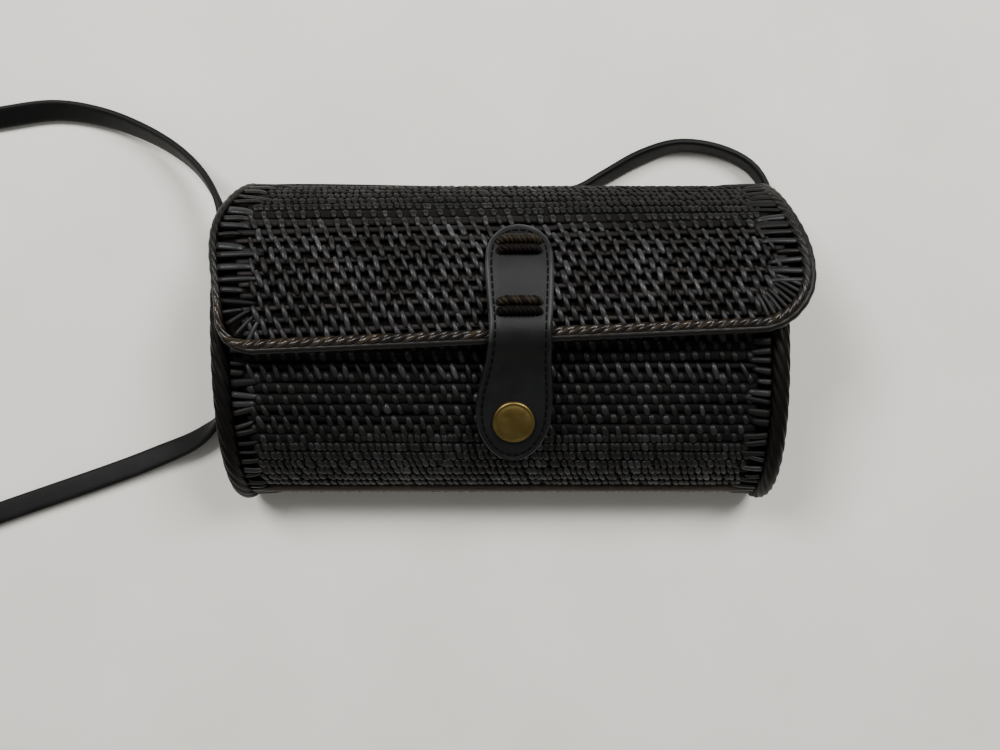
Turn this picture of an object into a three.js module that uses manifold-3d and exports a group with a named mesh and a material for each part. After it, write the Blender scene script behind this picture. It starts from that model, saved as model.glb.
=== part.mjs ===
// Half-round woven straw satchel with a stiff lid and a leather strap, lying on its flat back.
// Millimetres. X runs along the bag, Y from its base to its top, Z from its back to its front.
import * as THREE from 'three';
import { mergeVertices } from 'three/addons/utils/BufferGeometryUtils.js';
import Module from 'manifold-3d';

const wasm = await Module();
wasm.setup();

// Driving dimensions of the body
const gap = 0.3; // clearance between neighbouring pieces
const bodyLength = 205; // over both end rims
const endSlant = 1.15; // degrees, both ends leaning left towards the top
const baseReach = 62.2; // end profile, from its middle down to the base
const topReach = 55.6; // and from its middle up to the top
const frontHeight = 54; // from the back plane to the front of the rims
const backCorner = 10; // radius between the flat back and the round
const roundness = 2.15; // power of the oval front, where 2 is an ellipse
const rimWidth = 6.5; // braided end rim, along X
const rimDepth = 6.5; // and along the profile's normal
const rimCut = 1.7; // cut of the rim's corners
const rimProud = 2.5; // height of the end rim over the weave
const wallThickness = 3; // woven straw
const panelRecess = 2.5; // end panel's face, behind the rim's
const panelThickness = 2.5;
const mouthTurn = 112; // turn where the front wall ends, under the lid
const backEdgeTurn = 200; // turn where the back wall ends, at the hinge

// Driving dimensions of the lid
const lidWidth = 206; // over its rim
const lidMiddle = 5.3; // X at the middle of its lower edge
const lidLowerEdge = -3.2; // Y there
const lidTurn = 2.5; // degrees, so that its right end sits higher
const lidFrontTurn = 80; // turns that the lid's wall is bent between, before it is cut
const lidRearTurn = 180;
const lidFrontGap = 3; // clearance over the end rims at the lower edge
const lidRearGap = 0.7; // and at the hinge
const lidBulge = 2.2; // and what its bend adds between them
const lidRimWidth = 5.5;
const lidRimHeight = 5.5;
const lidRimCut = 1.5; // cut of the rim's corners
const hingeTurns = { from: 165, to: 230 };
const hingeThickness = 2.5;

// Driving dimensions of the tab, its lashings and the snap
const tabThickness = 2.2;
const lashRadius = 1.55;
const lashLength = 16;
const lashX = 6.6;
const snapX = 4.8;
const snapY = -30;
const studRadius = { foot: 5.5, head: 4.5 };
const studClearance = 0.6;

// Driving dimensions of the strap
const strapWidth = 8.8;
const strapThickness = 2.8;
const strapCut = 0.7; // cut of the strap's corners
const strapEndY = 18;
const strapEndZ = 24;
const strapStandoff = 0.9; // clear of the leaning end rims
const rivetRadius = 3.5;

// Straight facets that each curve is cut into
const facets = {
  backCorner: 5,
  oval: 40,
  bodyFront: 28,
  lidBend: 30,
  lidSide: 24,
  lidCorner: 6,
  lidRimSide: 24,
  lidRimEdge: 14,
  hinge: 10,
  tabLength: 44,
  tabEdge: 72,
  lashing: 10,
  lashingEnd: 4,
  snapCap: 28,
  snapStud: 20,
  strap: 80,
  rivet: 16,
};

// The lid's two sides: radius of the lower corner, outside the rim, how far the side drifts along X
// from the start of its rear stretch to the hinge, how much it swells and how far above the lower edge,
// and how far its rear corner is drawn in.
const lidSides = [
  { side: -1, corner: 13, drift: -1.5, swell: 2.5, swellAt: 41, rearDraw: 6 },
  { side: 1, corner: 19, drift: -4.5, swell: 2.5, swellAt: 26, rearDraw: 0 },
];
const lidSwellSpan = 16;
const lidDriftStart = 20;
const lidDriftSpan = 40;
const lidRearStart = 44;
const lidRearSpan = 22;

// Outline of the tab seen from the front, from its round top to its round tip.
const tabOutline = [
  { y: 38.5, middle: 6.7, half: 0 },
  { y: 36.8, middle: 6.7, half: 6.6 },
  { y: 32, middle: 6.7, half: 10.8 },
  { y: 25, middle: 6.7, half: 11.9 },
  { y: 12, middle: 6.9, half: 11.4 },
  { y: 1, middle: 7.0, half: 10.8 },
  { y: -10, middle: 6.3, half: 11.6 },
  { y: -18, middle: 5.5, half: 12.9 },
  { y: -25.5, middle: 4.9, half: 13.5 },
  { y: -33, middle: 4.7, half: 12.6 },
  { y: -39, middle: 4.6, half: 9.5 },
  { y: -42.8, middle: 4.6, half: 5.2 },
  { y: -44.2, middle: 4.6, half: 0 },
];

// Underside of the tab where it leaves the lid's rim and hangs down to the snap.
const tabHang = [
  { y: -4.5, z: 62 },
  { y: -9, z: 58.4 },
  { y: -15, z: 55.4 },
  { y: -22, z: 53.2 },
  { y: -30, z: 51.2 },
  { y: -38, z: 48.9 },
  { y: -46, z: 46.3 },
];
const tabTurnsOnLid = [138, 131, 124, 117, 110, 103];
const tabYsOnRim = [4, -1];

// Lashings across the tab, in pairs, by the Y of each cord.
const lashings = [
  { name: 'lashing_top_upper', y: 32 },
  { name: 'lashing_top_lower', y: 28.6 },
  { name: 'lashing_bottom_upper', y: 10.6 },
  { name: 'lashing_bottom_lower', y: 7.2 },
];

// Half section of the snap's domed cap, with a rolled edge.
const snapSection = [
  { r: 0, h: 0 },
  { r: 6.9, h: 0 },
  { r: 7.5, h: 0.6 },
  { r: 7.2, h: 1.3 },
  { r: 6.5, h: 1.5 },
  { r: 6.1, h: 1.35 },
  { r: 5, h: 1.75 },
  { r: 2.6, h: 2.2 },
  { r: 0, h: 2.35 },
];

// Route of the strap from the left end, round to the right end. lift is the height of its lower
// edge over the back plane, and lean the angle of its width, where 0 is flat and 90 on edge.
const strapX = bodyLength / 2 + strapStandoff + strapThickness / 2;
const strapEndLift = strapEndZ - strapWidth / 2;
const strapRoute = [
  { x: -strapX, y: strapEndY, lift: strapEndLift, lean: 90 },
  { x: -strapX - 0.2, y: 33, lift: strapEndLift, lean: 90 },
  { x: -105.7, y: 44, lift: 19, lean: 90 },
  { x: -107.8, y: 51.5, lift: 17, lean: 82 },
  { x: -111.6, y: 58.5, lift: 14, lean: 76 },
  { x: -118.4, y: 67, lift: 10, lean: 73 },
  { x: -128.6, y: 75.4, lift: 6, lean: 67 },
  { x: -142, y: 83, lift: 3, lean: 60 },
  { x: -158.8, y: 89.3, lift: 1, lean: 50 },
  { x: -177.7, y: 92.3, lift: 0.3, lean: 42 },
  { x: -200, y: 89.6, lift: 0.2, lean: 38 },
  { x: -240, y: 82, lift: 0.2, lean: 38 },
  { x: -292, y: 65.5, lift: 0.2, lean: 44 },
  { x: -340, y: 38, lift: 0.2, lean: 50 },
  { x: -372, y: 3, lift: 0.2, lean: 52 },
  { x: -380, y: -32, lift: 0.2, lean: 50 },
  { x: -366, y: -66, lift: 0.2, lean: 44 },
  { x: -332, y: -89, lift: 0.2, lean: 34 },
  { x: -290, y: -95, lift: 0.2, lean: 24 },
  { x: -246, y: -85.5, lift: 0.2, lean: 15 },
  { x: -202, y: -69.8, lift: 0.2, lean: 10 },
  { x: -140.2, y: -47.8, lift: 0.2, lean: 16 },
  { x: -119, y: -37.8, lift: 0.2, lean: 46 },
  { x: -110.4, y: -28, lift: 0.2, lean: 85 },
  { x: -108.9, y: -10, lift: 0.2, lean: 90 },
  { x: -109.4, y: 40, lift: 0.2, lean: 90 },
  { x: -107.8, y: 52.3, lift: 0.2, lean: 90 },
  { x: -101.7, y: 59.3, lift: 0.2, lean: 90 },
  { x: -92, y: 60.6, lift: 0.2, lean: 90 },
  { x: -8, y: 59.6, lift: 0.2, lean: 90 },
  { x: 20, y: 59, lift: 0.2, lean: 90 },
  { x: 31, y: 60.3, lift: 0.2, lean: 96 },
  { x: 41.3, y: 65.2, lift: 0.2, lean: 110 },
  { x: 56, y: 73.2, lift: 0.2, lean: 114 },
  { x: 71, y: 78, lift: 0.2, lean: 104 },
  { x: 88.6, y: 75.8, lift: 0.2, lean: 98 },
  { x: 101, y: 69, lift: 0.2, lean: 95 },
  { x: 106.8, y: 59, lift: 0.2, lean: 92 },
  { x: 105.6, y: 48, lift: 3, lean: 90 },
  { x: strapX + 0.2, y: 34, lift: 11.5, lean: 90 },
  { x: strapX, y: strapEndY, lift: strapEndLift, lean: 90 },
];

const straw = (color) => new THREE.MeshStandardMaterial({ color, roughness: 0.55, metalness: 0 });
const weaveStraw = straw(0x1d1a19);
const rimStraw = straw(0x2a211d);
const leather = new THREE.MeshStandardMaterial({ color: 0x232425, roughness: 0.5, metalness: 0 });
const lashCord = new THREE.MeshStandardMaterial({ color: 0x231914, roughness: 0.7, metalness: 0 });
const brass = new THREE.MeshStandardMaterial({ color: 0x8a7336, roughness: 0.35, metalness: 1 });

const { degToRad, mapLinear } = THREE.MathUtils;

// Point and outward normal of the end profile at a turn in degrees, moved out by an offset. Turns
// -90 to 0 go round the base's back corner, 0 to 180 over the oval front and 180 to 270 round the
// top's back corner. The flat back joins 270 to -90.
function profileAt(turn, offset = 0) {
  const cos = Math.cos(degToRad(turn));
  const sin = Math.sin(degToRad(turn));
  const reach = turn < 90 ? baseReach : topReach;
  const side = turn < 90 ? -1 : 1;
  if (turn <= 0 || turn >= 180) {
    const normal = new THREE.Vector2(-cos, sin);
    const centre = new THREE.Vector2(side * (reach - backCorner), backCorner);
    return { point: centre.addScaledVector(normal, backCorner + offset), normal };
  }
  const rise = frontHeight - backCorner;
  const along = Math.abs(cos) ** (2 / roundness);
  const height = sin ** (2 / roundness);
  const slope = roundness - 1;
  const normal = new THREE.Vector2((side * along ** slope) / reach, height ** slope / rise).normalize();
  const point = new THREE.Vector2(side * reach * along, backCorner + rise * height);
  return { point: point.addScaledVector(normal, offset), normal };
}

// Turns from one value to another in even steps, both ends included.
function turnsBetween(from, to, steps) {
  return Array.from({ length: steps + 1 }, (_, k) => mapLinear(k, 0, steps, from, to));
}

// Clearance between the end rims and the lid's inner face, widest over the upper front.
function lidGap(turn) {
  const share = mapLinear(turn, lidRearTurn, lidFrontTurn, 0, 1) ** 2;
  return lidRearGap + (lidFrontGap - lidRearGap) * share + lidBulge * Math.sin(Math.PI * share);
}

// Closed (Y, Z) outline between two lines of points.
function band(outer, inner) {
  return new THREE.Shape([...outer, ...inner.slice().reverse()]);
}

// A (Y, Z) outline carried along X between two places.
function alongX(shape, from, to) {
  const axes = new THREE.Matrix4().makeBasis(
    new THREE.Vector3(0, 1, 0),
    new THREE.Vector3(0, 0, 1),
    new THREE.Vector3(1, 0, 0),
  );
  const geometry = new THREE.ExtrudeGeometry(shape, { depth: to - from, bevelEnabled: false });
  return geometry.applyMatrix4(axes).translate(from, 0, 0);
}

// An (X, Y) outline carried up through the whole height of the bag.
function throughZ(shape) {
  return new THREE.ExtrudeGeometry(shape, { depth: 2 * frontHeight, bevelEnabled: false });
}

// Skin of a section carried along stations, each with its two section directions. It closes into a
// ring, or ends in two flat caps.
function sweep(stations, section, ring = false) {
  const sides = section.length;
  const positions = stations.flatMap(({ at, across, up }) =>
    section.flatMap(({ a, b }) => at.clone().addScaledVector(across, a).addScaledVector(up, b).toArray()),
  );
  const index = [];
  const spans = ring ? stations.length : stations.length - 1;
  for (let i = 0; i < spans; i += 1) {
    const here = i * sides;
    const there = ((i + 1) % stations.length) * sides;
    for (let j = 0; j < sides; j += 1) {
      const next = (j + 1) % sides;
      index.push(here + j, there + j, there + next, here + j, there + next, here + next);
    }
  }
  const last = (stations.length - 1) * sides;
  for (let j = 1; j < sides - 1 && !ring; j += 1) {
    index.push(0, j, j + 1, last, last + j + 1, last + j);
  }
  const geometry = new THREE.BufferGeometry();
  geometry.setAttribute('position', new THREE.Float32BufferAttribute(positions, 3));
  geometry.setIndex(index);
  geometry.computeVertexNormals();
  return geometry;
}

// Eight-sided section with cut corners, flat on its four sides.
function cutSection(width, height, cut) {
  const [w, h] = [width / 2, height / 2];
  return [
    { a: w, b: -h + cut },
    { a: w, b: h - cut },
    { a: w - cut, b: h },
    { a: -w + cut, b: h },
    { a: -w, b: h - cut },
    { a: -w, b: -h + cut },
    { a: -w + cut, b: -h },
    { a: w - cut, b: -h },
  ];
}

// Point of a path at an X, from its (Y, Z) point and normal.
function pathPoint(x, point, normal) {
  return { at: new THREE.Vector3(x, point.x, point.y), normal: new THREE.Vector3(0, normal.x, normal.y) };
}

// Stations along a path, whose section stands on the normal at each point.
function stationsOn(path, ring = false) {
  const count = path.length;
  return path.map(({ at, normal }, i) => {
    const before = path[ring ? (i + count - 1) % count : Math.max(i - 1, 0)].at;
    const after = path[ring ? (i + 1) % count : Math.min(i + 1, count - 1)].at;
    const tangent = after.clone().sub(before).normalize();
    const across = tangent.clone().cross(normal).normalize();
    return { at, across, up: across.clone().cross(tangent) };
  });
}

// A closed geometry as a solid that can be cut, and back again.
function solidOf(geometry) {
  const bare = geometry.clone();
  bare.deleteAttribute('normal');
  bare.deleteAttribute('uv');
  const merged = mergeVertices(bare);
  const vertProperties = Float32Array.from(merged.attributes.position.array);
  const triVerts = Uint32Array.from(merged.index.array);
  return new wasm.Manifold(new wasm.Mesh({ numProp: 3, vertProperties, triVerts }));
}

function intersectionOf(first, second) {
  const { vertProperties, triVerts } = solidOf(first).intersect(solidOf(second)).getMesh();
  const geometry = new THREE.BufferGeometry();
  geometry.setAttribute('position', new THREE.BufferAttribute(vertProperties, 3));
  geometry.setIndex(new THREE.BufferAttribute(triVerts, 1));
  geometry.computeVertexNormals();
  return geometry;
}

const satchel = new THREE.Group();
const bag = new THREE.Group();
satchel.add(bag);

function addPiece(name, geometry, material, parent = bag) {
  const piece = new THREE.Mesh(geometry, material);
  piece.name = name;
  parent.add(piece);
}

// The handmade lean of both ends, shared by every piece of the body.
const leanSlope = Math.tan(degToRad(endSlant));
const bodyLean = new THREE.Matrix4().makeShear(0, 0, -leanSlope, 0, 0, 0);

// Body: an open-mouthed wall of front, base and back between the end rims.
const shellEnd = bodyLength / 2 - rimWidth - gap;
const shellTurns = [
  ...turnsBetween(mouthTurn, 0, facets.bodyFront).slice(0, -1),
  ...turnsBetween(0, -90, facets.backCorner),
  ...turnsBetween(270, backEdgeTurn, facets.backCorner),
];
const wallLine = (turns, offset) => turns.map((turn) => profileAt(turn, offset).point);
const shellOuter = wallLine(shellTurns, -rimProud);
const shellInner = wallLine(shellTurns, -rimProud - wallThickness);
const shell = alongX(band(shellOuter, shellInner), -shellEnd, shellEnd);
addPiece('body_shell', shell.applyMatrix4(bodyLean), weaveStraw);

// Ends: a D-shaped woven panel inside a braided rim, one at each end.
const ringTurns = [
  ...turnsBetween(-90, 0, facets.backCorner),
  ...turnsBetween(0, 180, facets.oval).slice(1, -1),
  ...turnsBetween(180, 270, facets.backCorner),
];
const rimPath = (x) =>
  ringTurns.map((turn) => {
    const { point, normal } = profileAt(turn, -rimDepth / 2);
    return pathPoint(x, point, normal);
  });
const rimSection = cutSection(rimWidth, rimDepth, rimCut);
const panelOutline = new THREE.Shape(wallLine(ringTurns, -rimDepth - gap));
const panelFace = bodyLength / 2 - panelRecess;
const ends = [
  { end: 'left', side: -1 },
  { end: 'right', side: 1 },
];
for (const { end, side } of ends) {
  const rimX = side * (bodyLength / 2 - rimWidth / 2);
  const rim = sweep(stationsOn(rimPath(rimX), true), rimSection, true);
  addPiece(`end_rim_${end}`, rim.applyMatrix4(bodyLean), rimStraw);
  const [near, far] = [side * panelFace, side * (panelFace - panelThickness)];
  const panel = alongX(panelOutline, Math.min(near, far), Math.max(near, far));
  addPiece(`end_panel_${end}`, panel.applyMatrix4(bodyLean), weaveStraw);
}

// Lid: a bent woven wall, cut to a turned outline with round lower corners.
const lidTurns = turnsBetween(lidFrontTurn, lidRearTurn, facets.lidBend);
const lidLine = (offset) => lidTurns.map((turn) => profileAt(turn, lidGap(turn) + offset).point);
const lidSlope = degToRad(lidTurn);

// Point of the lid's plan, p along its lower edge and q away from it, widened where its sides swell.
function lidPlan(p, q) {
  const { swell, swellAt } = lidSides[p < 0 ? 0 : 1];
  const share = Math.exp(-(((q - swellAt) / lidSwellSpan) ** 2));
  const wide = p * (1 + (share * swell) / (lidWidth / 2));
  const x = wide * Math.cos(lidSlope) - q * Math.sin(lidSlope);
  const y = wide * Math.sin(lidSlope) + q * Math.cos(lidSlope);
  return new THREE.Vector2(lidMiddle + x, lidLowerEdge + y);
}

// Point of one side of the lid's outline at a distance from its lower edge, drawn in by an inset across it.
function lidSidePlan({ side, drift, rearDraw }, q, inset) {
  const share = Math.max(0, (q - lidDriftStart) / lidDriftSpan);
  const rear = Math.max(0, (q - lidRearStart) / lidRearSpan);
  const across = inset * Math.hypot(1, (2 * rearDraw * rear) / lidRearSpan);
  return lidPlan(side * (lidWidth / 2 - across - rearDraw * rear ** 2) + drift * share ** 2, q);
}

// Lower edge and corners of the lid's outline, from left to right, drawn in by an inset.
function lidLowerLine(inset, edgeSteps) {
  const corners = lidSides.map(({ side, corner }) => {
    const middle = side * (lidWidth / 2 - corner);
    return turnsBetween(0, 90, facets.lidCorner).map((turn) => {
      const [p, q] = [Math.cos(degToRad(turn)), Math.sin(degToRad(turn))];
      return lidPlan(middle + side * (corner - inset) * p, corner - (corner - inset) * q);
    });
  });
  const [from, to] = lidSides.map(({ side, corner }) => side * (lidWidth / 2 - corner));
  const edge = turnsBetween(from, to, edgeSteps).slice(1, -1).map((p) => lidPlan(p, inset));
  return [...corners[0], ...edge, ...corners[1].reverse()];
}

const lidInset = lidRimWidth + gap;
const lidDepth = lidDriftStart + 2 * lidDriftSpan;
const lidSideLine = (row) => {
  const distances = turnsBetween(lidDepth, row.corner, facets.lidSide).slice(0, -1);
  return distances.map((q) => lidSidePlan(row, q, lidInset));
};
const lidOutline = new THREE.Shape([
  ...lidSideLine(lidSides[0]),
  ...lidLowerLine(lidInset, 1),
  ...lidSideLine(lidSides[1]).reverse(),
]);
const lidBand = alongX(band(lidLine(wallThickness), lidLine(0)), -lidWidth, lidWidth);
addPiece('lid', intersectionOf(lidBand, throughZ(lidOutline)), weaveStraw);

// Turn at which a line offset from the lid's inner face passes a given Y.
function lidTurnAt(y, offset) {
  let [low, high] = [0, lidRearTurn];
  while (high - low > 1e-9) {
    const middle = (low + high) / 2;
    const passes = profileAt(middle, lidGap(middle) + offset).point.x > y;
    [low, high] = passes ? [low, middle] : [middle, high];
  }
  return low;
}

// Lid's rim: up one side, round the lower edge and up the other side.
const rimMiddle = lidRimHeight / 2;
function lidRimPoint(turn, x) {
  const { point, normal } = profileAt(turn, lidGap(turn) + rimMiddle);
  return pathPoint(x, point, normal);
}

// Points of the rim's side, where its line in the lid's plan meets each turn.
function lidRimSide(row, turns) {
  return turns.map((turn) => {
    const { y } = lidRimPoint(turn, 0).at;
    let q = y - lidLowerEdge;
    let onSide = lidSidePlan(row, q, lidRimWidth / 2);
    while (Math.abs(y - onSide.y) > 1e-6) {
      q += y - onSide.y;
      onSide = lidSidePlan(row, q, lidRimWidth / 2);
    }
    return lidRimPoint(turn, onSide.x);
  });
}

const rimLowerPlan = lidLowerLine(lidRimWidth / 2, facets.lidRimEdge);
const rimLower = rimLowerPlan.map(({ x, y }) => lidRimPoint(lidTurnAt(y, rimMiddle), x));
const sideTurns = (y) => turnsBetween(lidRearTurn, lidTurnAt(y, rimMiddle), facets.lidRimSide).slice(0, -1);
const lidRimPath = [
  ...lidRimSide(lidSides[0], sideTurns(rimLower[0].at.y)),
  ...rimLower,
  ...lidRimSide(lidSides[1], sideTurns(rimLower.at(-1).at.y)).reverse(),
];
const lidRimSection = cutSection(lidRimWidth, lidRimHeight, lidRimCut);
addPiece('lid_rim', sweep(stationsOn(lidRimPath), lidRimSection), rimStraw);

// Hinge: a plain band behind the lid's rear edge and the back wall's upper edge.
const hingeLine = (offset) => wallLine(turnsBetween(hingeTurns.from, hingeTurns.to, facets.hinge), offset);
const hinge = alongX(band(hingeLine(gap), hingeLine(gap - hingeThickness)), -shellEnd, shellEnd);
addPiece('hinge_band', hinge.applyMatrix4(bodyLean), weaveStraw);

// Tab: a leather strip along the lid, over its rim and down to the snap.
const tabOnLid = tabTurnsOnLid.map((turn) => profileAt(turn, lidGap(turn) + wallThickness + gap).point);
const rimTop = frontHeight + lidGap(90) + lidRimHeight + gap;
const tabOverRim = tabYsOnRim.map((y) => new THREE.Vector2(y, rimTop));
const tabFall = tabHang.map(({ y, z }) => new THREE.Vector2(y, z));
const tabSpline = new THREE.SplineCurve([...tabOnLid, ...tabOverRim, ...tabFall]);
const tabParts = turnsBetween(0, 1, facets.tabLength);
const tabUnder = tabParts.map((t) => tabSpline.getPoint(t));
const tabNormals = tabParts.map((t) => {
  const tangent = tabSpline.getTangent(t);
  return new THREE.Vector2(-tangent.y, tangent.x).negate();
});
const tabUpper = tabUnder.map((point, i) => point.clone().addScaledVector(tabNormals[i], tabThickness));
const tabSide = (side) =>
  tabOutline.map(({ y, middle, half }) => new THREE.Vector2(middle + side * half, y));
const tabLoop = new THREE.SplineCurve([...tabSide(1), ...tabSide(-1).reverse().slice(1)]);
const tabShape = new THREE.Shape(tabLoop.getPoints(facets.tabEdge).slice(0, -1));
const tabBand = alongX(band(tabUpper, tabUnder), -lidWidth, lidWidth);
addPiece('tab', intersectionOf(tabBand, throughZ(tabShape)), leather);

// A group standing on the tab's outer face at a Y, with its own +Z along the face's normal.
function standOnTab(x, y) {
  const i = tabUpper.findIndex((point) => point.x <= y);
  const share = mapLinear(y, tabUpper[i].x, tabUpper[i - 1].x, 0, 1);
  const point = tabUpper[i].clone().lerp(tabUpper[i - 1], share);
  const group = new THREE.Group();
  group.position.set(x, point.x, point.y);
  group.rotation.x = -Math.atan2(tabNormals[i].x, tabNormals[i].y);
  bag.add(group);
  return group;
}

// Lashings: short cords that lie across the tab.
for (const { name, y } of lashings) {
  const straight = lashLength - 2 * lashRadius;
  const cord = new THREE.CapsuleGeometry(lashRadius, straight, facets.lashingEnd, facets.lashing, 1);
  cord.rotateZ(Math.PI / 2).translate(0, 0, lashRadius + gap);
  addPiece(name, cord, lashCord, standOnTab(lashX, y));
}

// Snap: a domed cap on the tab over a stud that stands on the body's front.
const snapStand = standOnTab(snapX, snapY);
const snapPoints = snapSection.map(({ r, h }) => new THREE.Vector2(r, h));
const snapCap = new THREE.LatheGeometry(snapPoints, facets.snapCap);
snapCap.rotateX(Math.PI / 2).translate(0, 0, gap);
addPiece('snap_cap', snapCap, brass, snapStand);

const snapFace = new THREE.Vector2(snapStand.position.y, snapStand.position.z);
const wallDistances = shellOuter.map((point) => point.distanceTo(snapFace));
const wallDistance = Math.min(...wallDistances);
const studHeight = wallDistance - tabThickness - gap - studClearance;
const stud = new THREE.CylinderGeometry(studRadius.head, studRadius.foot, studHeight, facets.snapStud);
stud.rotateX(Math.PI / 2).translate(0, 0, -tabThickness - gap - studHeight / 2);
addPiece('snap_stud', stud, brass, snapStand);

// Strap: one flat leather loop, laid on the back plane and riveted to both end panels.
const strapReach = ({ lean }) => {
  const angle = degToRad(lean);
  return (strapWidth * Math.sin(angle) + strapThickness * Math.abs(Math.cos(angle))) / 2;
};
const strapCurve = new THREE.CatmullRomCurve3(
  strapRoute.map((row) => new THREE.Vector3(row.x, row.y, row.lift + strapReach(row))),
);
const strapLeans = new THREE.SplineCurve(strapRoute.map((row, i) => new THREE.Vector2(i, row.lean)));
const strapStations = turnsBetween(0, 1, facets.strap).map((share) => {
  const t = strapCurve.getUtoTmapping(share);
  const tangent = strapCurve.getTangent(t);
  const side = tangent.clone().cross(new THREE.Vector3(0, 0, 1)).normalize();
  const rise = side.clone().cross(tangent);
  const angle = degToRad(strapLeans.getPoint(t).y);
  const across = side.multiplyScalar(Math.cos(angle)).addScaledVector(rise, Math.sin(angle));
  return { at: strapCurve.getPoint(t), across, up: across.clone().cross(tangent) };
});
const strapSection = cutSection(strapWidth, strapThickness, strapCut);
addPiece('strap', sweep(strapStations, strapSection), leather, satchel);

// Rivets: a plain post between each end panel and the end of the strap.
for (const { end, side } of ends) {
  const from = side * (panelFace + gap) - leanSlope * strapEndY;
  const to = side * (strapX - strapThickness / 2 - gap);
  const rivet = new THREE.CylinderGeometry(rivetRadius, rivetRadius, Math.abs(to - from), facets.rivet);
  rivet.rotateZ(Math.PI / 2).translate((from + to) / 2, strapEndY + rivetRadius, strapEndZ);
  addPiece(`strap_rivet_${end}`, rivet, brass);
}

// The origin is under the middle of the bag's own box, on the plane it lies on.
const middle = new THREE.Box3().setFromObject(bag).getCenter(new THREE.Vector3());
satchel.position.set(-middle.x, -middle.y, 0);

export default satchel;
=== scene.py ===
import bpy
import numpy as np
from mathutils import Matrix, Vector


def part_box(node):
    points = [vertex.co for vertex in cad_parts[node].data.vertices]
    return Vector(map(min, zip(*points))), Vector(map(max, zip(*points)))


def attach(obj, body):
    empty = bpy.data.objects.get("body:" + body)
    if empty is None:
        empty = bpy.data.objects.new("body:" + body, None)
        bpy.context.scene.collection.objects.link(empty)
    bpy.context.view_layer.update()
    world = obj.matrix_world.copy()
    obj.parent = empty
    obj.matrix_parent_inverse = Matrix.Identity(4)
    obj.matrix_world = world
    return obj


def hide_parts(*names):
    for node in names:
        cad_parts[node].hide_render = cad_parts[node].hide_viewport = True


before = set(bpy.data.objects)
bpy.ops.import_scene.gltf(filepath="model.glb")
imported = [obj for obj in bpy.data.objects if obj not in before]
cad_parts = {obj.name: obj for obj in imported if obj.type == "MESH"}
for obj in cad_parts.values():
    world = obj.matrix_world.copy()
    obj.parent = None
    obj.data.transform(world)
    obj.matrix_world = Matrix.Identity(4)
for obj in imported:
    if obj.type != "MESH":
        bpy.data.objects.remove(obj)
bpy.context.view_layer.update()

# Half-round satchel of dark dyed grass, lying on its flat back. Sizes are millimetres in the bag's own
# coordinates: X along the bag, Y from its base to its top, Z from its back to its front. add_piece moves
# them into the shared frame and turns them to metres.
MM = 0.001
GAP = 0.3
HALF_LENGTH = 102.5
END_LEAN = np.tan(np.radians(1.15))
BASE_REACH, TOP_REACH = 62.2, 55.6
BACK_CORNER, RISE, ROUNDNESS = 10.0, 44.0, 2.15
RIM_SIZE, RIM_PROUD, WALL = 6.5, 2.5, 3.0
SHELL_END = HALF_LENGTH - RIM_SIZE - GAP
PANEL_FACE, PANEL_WALL = HALF_LENGTH - 2.5, 2.5
MOUTH_TURN, BACK_EDGE_TURN = 112.0, 200.0
HINGE_FROM, HINGE_TO, HINGE_WALL = 165.0, 230.0, 2.5
LID_HALF, LID_MIDDLE, LID_LOWER, LID_TURN = 103.0, 5.3, -3.2, np.radians(2.5)
LID_FRONT_GAP, LID_REAR_GAP, LID_BULGE = 3.0, 0.7, 2.2
LID_RIM = 5.5
LID_DRIFT_START, LID_DRIFT_SPAN = 20.0, 40.0
LID_SWELL, LID_SWELL_AT, LID_SWELL_SPAN = 2.5, (41.0, 26.0), 16.0
LID_REAR_START, LID_REAR_SPAN = 44.0, 22.0
TAB_WALL, TAB_ROUNDING = 2.2, 0.9
SEAM_INSET, SEAM_PITCH, SEAM_THREAD = 2.2, 2.7, 0.85
SNAP_X, SNAP_Y = 4.8, -30.0
LASH_X, LASH_RADIUS, LASH_LENGTH = 6.6, 1.68, 16.0
STRAP_WIDTH, STRAP_WALL, STRAP_STEP, STRAP_SIDES = 8.8, 2.8, 3.5, 40
FOLD_DEPTH, FOLD_AT, FOLD_SPREAD = 0.35, 0.32, 0.06
RIVET_Y = 21.5

# Lid's sides: sign of X, radius of the lower corner, and the side's drift towards the rear with the draw
# of its rear corner
LID_SIDES = {"left": (-1, 13.0, (-1.5, 6.0)), "right": (1, 19.0, (-4.5, 0.0))}

# Tab seen from the front, row by row: Y, middle X, half width
TAB_OUTLINE = np.array([
    (38.5, 6.7, 0), (36.8, 6.7, 6.6), (32, 6.7, 10.8), (25, 6.7, 11.9), (12, 6.9, 11.4), (1, 7.0, 10.8),
    (-10, 6.3, 11.6), (-18, 5.5, 12.9), (-25.5, 4.9, 13.5), (-33, 4.7, 12.6), (-39, 4.6, 9.5),
    (-42.8, 4.6, 5.2), (-44.2, 4.6, 0),
])
TAB_TURNS = np.array([138, 131, 124, 117, 110, 103.0])
TAB_RIM_YS = np.array([4, -1.0])
TAB_HANG = np.array([(-4.5, 62), (-9, 58.4), (-15, 55.4), (-22, 53.2), (-30, 51.2), (-38, 48.9), (-46, 46.3)])
LASH_YS = {"top_upper": 32, "top_lower": 28.6, "bottom_upper": 10.6, "bottom_lower": 7.2}

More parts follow.
